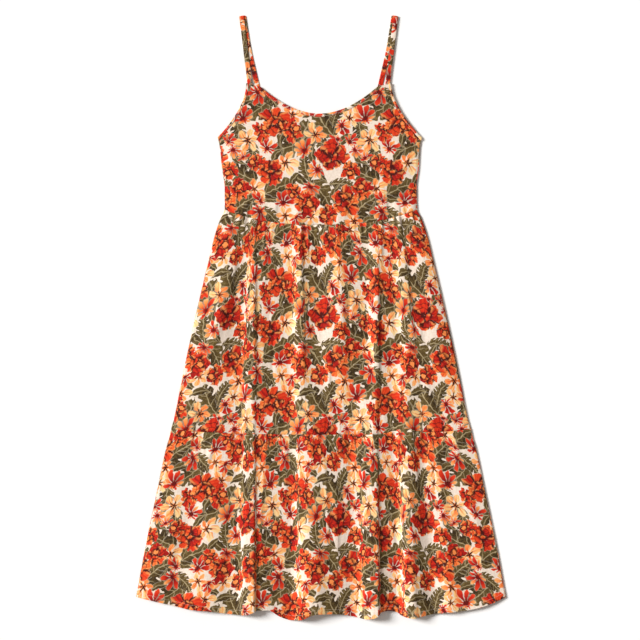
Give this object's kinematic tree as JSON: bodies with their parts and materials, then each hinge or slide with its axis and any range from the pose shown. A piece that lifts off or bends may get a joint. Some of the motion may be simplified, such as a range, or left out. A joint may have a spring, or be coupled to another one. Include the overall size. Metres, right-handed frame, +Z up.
{
  "type": "midi dress",
  "caption": "Sleeveless midi dress laid flat: scooped bodice on thin straps, gathered waist, two-tier flared skirt, in floral printed cloth.",
  "frame": {"origin": "middle of the dress's outline, on the surface that it lies on", "axes": "+X across the dress towards the right-hand strap as seen from above, +Y from the hem towards the straps, +Z up from the surface, out of the front"},
  "size_m": [0.74, 1.21, 0.0182],
  "materials": {
    "printed_cloth": "matt woven cloth, painterly flowers and leaves on cream",
    "binding_cloth": "matt woven cloth, the same print cut on the bias and folded"
  },
  "bodies": {
    "root": {"bodice_front": "printed_cloth", "bodice_back": "printed_cloth", "skirt_upper_front": "printed_cloth", "skirt_upper_back": "printed_cloth", "skirt_lower_front": "printed_cloth", "skirt_lower_back": "printed_cloth", "strap_left": "binding_cloth", "strap_right": "binding_cloth", "neck_binding_front": "binding_cloth", "neck_binding_back": "binding_cloth", "armhole_binding_front_left": "binding_cloth", "armhole_binding_front_right": "binding_cloth", "armhole_binding_back_left": "binding_cloth", "armhole_binding_back_right": "binding_cloth"}
  },
  "joints": []
}
